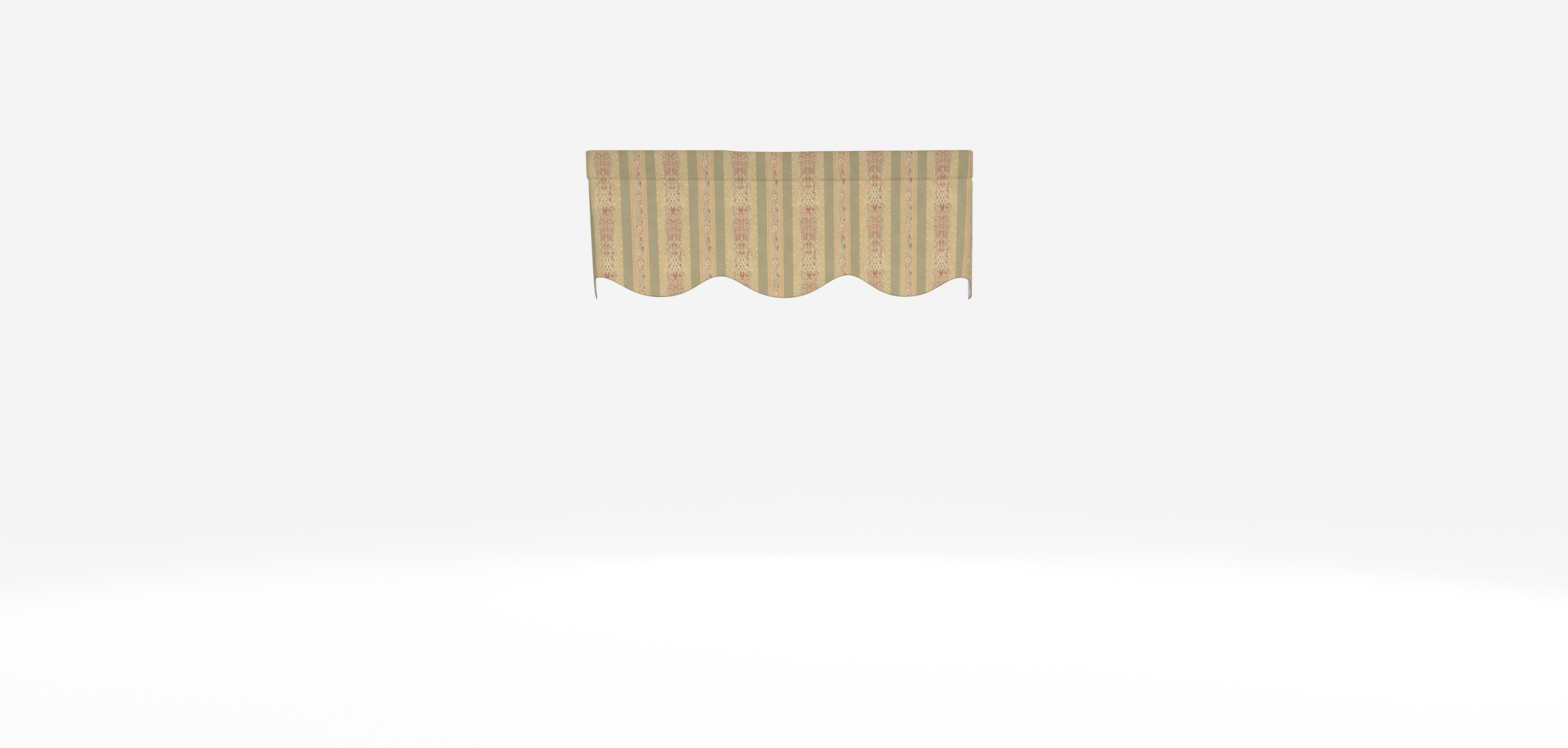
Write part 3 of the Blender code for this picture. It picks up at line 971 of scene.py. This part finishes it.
for level in FLOWER_LEVELS:
    away, petal = flower(loom, sprig, level)
    body = loom.times(loom.step(away, 7.4, 5.8), loom.step(away, 1.2, 2.2))
    rim = loom.step(away, 8.8, 7.4, 0.0, loom.step(away, 6.0, 7.2, 0.0, 0.5))
    for share, tint in (
        (loom.step(away, 8.8, 5.6, 0.0, 0.7), dye(200, 166, 124)),
        (rim, dye(204, 136, 112)),
        (loom.times(body, loom.step(petal, -0.45, 0.35, 0.0, 0.92)), dye(240, 220, 174)),
        (loom.step(away, 2.0, 1.2, 0.0, 0.8), dye(190, 150, 90)),
    ):
        colour = loom.mix(share, colour, tint)
colour = paint_charts(
    loom, colour,
    (sprig, SPRIG_LEAF, dye(141, 144, 114), 0.75), (sprig, SPRIG_CREAM, CREAM, 0.7),
    (sprig, SPRIG_PINK, dye(202, 118, 104), 0.74), (sprig, SPRIG_RED, dye(180, 62, 66), 0.8),
    (sprig, SPRIG_MOSS, MOSS, 0.8),
)

# %% [markdown]
# ## The weave
#
# Both cloths are cotton: the face firm and slightly ribbed, the lining a plain weave. A thread's
# crown is the product of two sines, one along each thread direction, and long thin noise makes
# some threads thicker or paler than their neighbours.

# %% Crowns and slubs
FACE_PITCH, LINING_PITCH = 0.00052, 0.00045  # metres between threads
SLUB_RISE = 0.8  # of a thread's own height


def slubs(loom, flat, across, along):
    """Noise stretched to threads: scale across and along the cloth, per metre."""
    stretched = loom.vector("MULTIPLY", flat, (across, along, 1.0))
    return loom.noise(stretched, 1.0, 2.0, 0.6)


def weave(loom, flat, pitch, warp_scale, weft_scale):
    """crown = 0.5 + 0.5 sin(pi u / pitch) sin(pi v / pitch), for u and v across and along the
    cloth, the slubs of either direction, and height = crown + rise (warp + weft)."""
    u, v = loom.split(loom.vector("MULTIPLY", flat, (math.pi / pitch,) * 3))
    crown = loom.times(loom.math("SINE", u), loom.math("SINE", v))
    crown = loom.math("MULTIPLY_ADD", crown, 0.5, 0.5)
    warp, weft = slubs(loom, flat, *warp_scale), slubs(loom, flat, *weft_scale)
    height = loom.plus(crown, loom.times(loom.plus(warp, weft), SLUB_RISE))
    return crown, warp, weft, height


crown, warp, weft, height = weave(loom, flat, FACE_PITCH, (1500.0, 70.0), (90.0, 1300.0))
print("threads to the centimetre:", round(0.01 / FACE_PITCH), "and", round(0.01 / LINING_PITCH))

# %% The face's finish
warp_tone = loom.step(warp, 0.25, 0.75, -0.06, 0.06)
weft_tone = loom.step(weft, 0.25, 0.75, -0.05, 0.05)
cloud = loom.step(loom.noise(flat, 24.0, 4.0, 0.65), 0.3, 0.7, -0.05, 0.05)  # hand-sized
fleck = loom.step(loom.noise(flat, 420.0, 2.0, 0.7), 0.55, 0.70, 0.0, -0.12)  # seed specks
grain = loom.step(slubs(loom, flat, 520.0, 300.0), 0.36, 0.64, -0.125, 0.125)  # unlike threads
tones = loom.plus(loom.plus(warp_tone, weft_tone), cloud)
shade = loom.plus(tones, loom.plus(fleck, grain))
# Painted shade: the colour is darker between the crowns of the threads.
shade = loom.math("MULTIPLY_ADD", crown, 0.10, loom.plus(shade, 0.96))
over_seam = loom.add("Attribute", attribute_name="over_seam", result=2)
over_hem = loom.add("Attribute", attribute_name="over_hem", result=2)
# Painted shade: four layers above the stitching let less daylight through than two below it.
layers = loom.step(over_seam, -0.0006, 0.0012, 1.0, 0.91)
# Painted light: the skirt is made lighter towards the hem and a little darker at the stitching.
fall = loom.add("MapRange", over_seam, -0.29, 0.0, 1.07, 0.985)
hem_edge_shade = loom.step(over_hem, 0.0005, 0.0024, 0.62, 1.0)  # painted shade along the crease where the hem turns under
roll_top_shade = loom.step(over_seam, 0.058, 0.080, 1.0, 0.93)  # painted shade, darker on the top of the roll over the rod
shade = loom.times(loom.times(shade, hem_edge_shade), loom.times(layers, fall))
colour = loom.mix(1.0, colour, loom.times(shade, roll_top_shade), "MULTIPLY")
face.data.materials.append(loom.finish(
    Base_Color=colour, Roughness=loom.step(warp, 0.2, 0.8, 0.78, 0.92), Specular_IOR_Level=0.3,
    Sheen_Weight=0.12, Sheen_Roughness=0.5, Normal=loom.add("Bump", 0.35, 0.0002, None, height)))

# %% The lining's finish, and the thread's
loom = Loom("plain_cotton")
flat = loom.add("UVMap", uv_map="flat_cloth")
crown, warp, weft, height = weave(loom, flat, LINING_PITCH, (1700.0, 60.0), (60.0, 1700.0))
warp_tone = loom.step(warp, 0.25, 0.75, 0.95, 1.02)
weft_tone = loom.step(weft, 0.25, 0.75, -0.03, 0.03)
# Painted shade: the colour is darker between the crowns of the threads.
shade = loom.math("MULTIPLY_ADD", crown, 0.05, loom.plus(warp_tone, weft_tone))
cloud = loom.step(loom.noise(flat, 9.0, 3.0, 0.6), 0.3, 0.7)
tone = loom.mix(cloud, dye(226, 219, 203), dye(232, 226, 212))
lining.data.materials.append(loom.finish(
    Base_Color=loom.mix(1.0, tone, shade, "MULTIPLY"), Sheen_Weight=0.1,
    Roughness=loom.step(weft, 0.2, 0.8, 0.8, 0.93),
    Normal=loom.add("Bump", 0.3, 0.00015, None, height)))

loom = Loom("sewing_thread")
place_on = loom.add("TexCoord", result=3)
# Painted shade: the thread's colour is darker in the grooves of its twist.
twist = loom.add("TexWave", place_on, 2600.0, 0.4, 1.0, bands_direction="DIAGONAL", result=1)
sewing.materials.append(loom.finish(
    Base_Color=loom.mix(twist, dye(224, 208, 166), dye(240, 228, 192)),
    Roughness=loom.step(twist, 0.0, 1.0, 0.62, 0.5),
    Normal=loom.add("Bump", 0.4, 0.0001, None, twist)))

# %% [markdown]
# ## The studio
#
# The real one hangs in daylight with hardly a shadow. Here it hangs in a pale round bowl, a
# floor that curves up into a wall, so that every side has the same plain ground behind it.

# %% The bowl, in a plaster white with a glow of its own
FLOOR, BOWL_RADIUS, CURVE, WALL_TOP = -1.55, 7.0, 2.2, 5.2
WHITE = (1.0, 1.0, 1.0, 1)


def bowl_points(count):
    """A profile turned round the upright axis: flat out to R - c, then a quarter circle of radius
    c up to the wall, then straight up."""
    angle = np.linspace(0, np.pi / 2, 17)
    reach = np.r_[0, 2, 3.6, BOWL_RADIUS - CURVE + CURVE * np.sin(angle), BOWL_RADIUS]
    height = np.r_[0, 0, 0, CURVE * (1 - np.cos(angle)), WALL_TOP] + FLOOR
    turn = np.linspace(0, 2 * np.pi, count + 1)
    x, y = reach[:, None] * np.cos(turn), reach[:, None] * np.sin(turn)
    return np.stack([x, y, np.broadcast_to(height[:, None], x.shape)], axis=-1)


point = bowl_points(96)[:, ::-1]
bowl_mesh = sheet_mesh("bowl", point, point[..., 0], point[..., 1])
bowl = bpy.data.objects.new("bowl", bowl_mesh)
bpy.context.scene.collection.objects.link(bowl)
bowl.visible_diffuse = False  # its glow doesn't fall on the cloth, whose turned sides stay darker
bowl_mesh.materials.append(Loom("plaster").finish(
    Base_Color=(0.20, 0.20, 0.198, 1), Roughness=0.95,
    Emission_Color=WHITE, Emission_Strength=0.81))
print("bowl:", len(bowl_mesh.polygons), "quads")

# %% [markdown]
# ## Light and camera
#
# Two large soft lamps stand before the cloth, as the room's windows would, and three weaker ones
# behind it keep the returns and the back from going dark. The sky fills in the rest. The camera
# stands where the photograph's did: level, under four metres away, and below the valance, so
# that the returns' inner sides show under the arches.

# %% Soft lamps
LAMPS = (  # name, place, size, power
    ("key_light", (1.5, -3.6, 0.0), 2.4, 60.5),
    ("fill_light", (-1.2, -3.6, -0.5), 2.4, 48.5),
    ("left_light", (-3.4, 2.4, 0.6), 2.0, 22),
    ("right_light", (3.4, 2.4, 0.6), 2.0, 34),
    ("back_light", (0.0, 3.8, 0.2), 2.6, 23),
)
TARGET = np.array([0.0, 0.07, -0.2])


def turn_towards(place, target):
    """The Euler turn that sends a lamp's -Z axis from place to target."""
    x, y, z = np.subtract(target, place)
    return (math.atan2(math.hypot(x, y), -z), 0.0, math.atan2(-x, y))


for name, spot, size, power in LAMPS:
    light = bpy.data.lights.new(name, "AREA")
    light.energy, light.size, light.shape = power, size, "DISK"
    made = bpy.data.objects.new(name, light)
    made.location, made.rotation_euler = spot, turn_towards(spot, TARGET)
    bpy.context.scene.collection.objects.link(made)
world = bpy.data.worlds.new("daylight")
world.use_nodes = True
sky = world.node_tree.nodes["Background"].inputs
sky["Color"].default_value, sky["Strength"].default_value = WHITE, 0.3
bpy.context.scene.world = world
bpy.context.scene.view_settings.view_transform = "Standard"
print("lamps:", ", ".join(lamp[0] for lamp in LAMPS))

# %% The photograph's camera
CAMERA_PLACE = (0.0103, -3.6907, -0.5807)
LENS = 32.42  # mm, on a sensor 36 mm wide
lens = bpy.data.cameras.new("camera")
lens.lens, lens.sensor_width, lens.sensor_fit = LENS, 36.0, "HORIZONTAL"
lens.dof.use_dof = False
camera = bpy.data.objects.new("camera", lens)
camera.location, camera.rotation_euler = CAMERA_PLACE, (math.pi / 2, 0.0, 0.0)
bpy.context.scene.collection.objects.link(camera)
bpy.context.scene.camera = camera
print("camera", round(float(np.linalg.norm(np.subtract(CAMERA_PLACE, TARGET))), 2), "m away")
